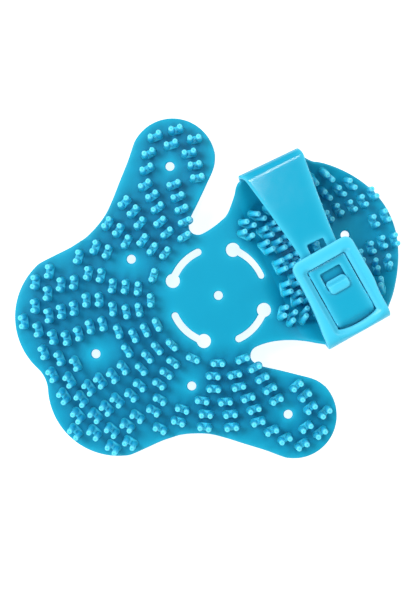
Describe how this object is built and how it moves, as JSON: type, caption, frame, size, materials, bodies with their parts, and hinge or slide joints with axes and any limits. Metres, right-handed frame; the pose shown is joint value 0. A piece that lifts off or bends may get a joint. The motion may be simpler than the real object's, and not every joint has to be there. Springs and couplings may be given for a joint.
{
  "type": "grooming glove",
  "caption": "Palm-shaped silicone grooming glove with twin-pin bristles, a bowed heel and a buckled wrist strap.",
  "frame": {"origin": "middle of the footprint, on the surface that the glove stands on", "axes": "+Y to the fingertips, +Z out of the bristles, +X to the strap's fold"},
  "size_m": [0.1988, 0.2142, 0.0345],
  "materials": {
    "silicone_pad": "satin",
    "silicone_strap": "satin",
    "silicone_buckle": "satin"
  },
  "bodies": {
    "palm": {"palm_web": "silicone_pad"},
    "fingers": {"finger_pad": "silicone_pad"},
    "side_left": {"side_pad_left": "silicone_pad"},
    "side_right": {"side_pad_right": "silicone_pad"},
    "heel": {"heel_pad": "silicone_pad"},
    "strap": {"wrist_strap": "silicone_strap"},
    "buckle": {"buckle_frame": "silicone_buckle", "strap_tip": "silicone_strap", "hook_plate": "silicone_buckle"}
  },
  "joints": [
    {"name": "finger_flex", "type": "hinge", "parent": "palm", "child": "fingers", "pos_m": [0, 0.06063, 0.0141], "axis": [1, 0, 0], "range_deg": [-45, 18], "stiffness_Nm_per_rad": 0.5},
    {"name": "side_flex_left", "type": "hinge", "parent": "palm", "child": "side_left", "pos_m": [-0.0499, 0.02558, 0.0141], "axis": [-0.2869, 0.958, 0], "range_deg": [-45, 18], "stiffness_Nm_per_rad": 0.5},
    {"name": "side_flex_right", "type": "hinge", "parent": "palm", "child": "side_right", "pos_m": [0.0499, 0.02558, 0.0141], "axis": [-0.2869, -0.958, 0], "range_deg": [-45, 18], "stiffness_Nm_per_rad": 0.5},
    {"name": "heel_flex", "type": "hinge", "parent": "palm", "child": "heel", "pos_m": [0, -0.03134, 0.01143], "axis": [-1, 0, 0], "range_deg": [-30, 15], "stiffness_Nm_per_rad": 0.5},
    {"name": "strap_lift", "type": "hinge", "parent": "heel", "child": "strap", "pos_m": [0.05037, -0.05487, 0.02489], "axis": [0, 1, 0], "range_deg": [0, 13], "stiffness_Nm_per_rad": 0.3},
    {"name": "buckle_lift", "type": "hinge", "parent": "heel", "child": "buckle", "pos_m": [-0.04735, -0.05877, 0.02494], "axis": [0.068, -0.9977, 0], "range_deg": [0, 18.5], "stiffness_Nm_per_rad": 0.3}
  ],
  "couplings": [
    {"joint": "buckle_lift", "follows": "strap_lift", "ratio": 1.416}
  ]
}
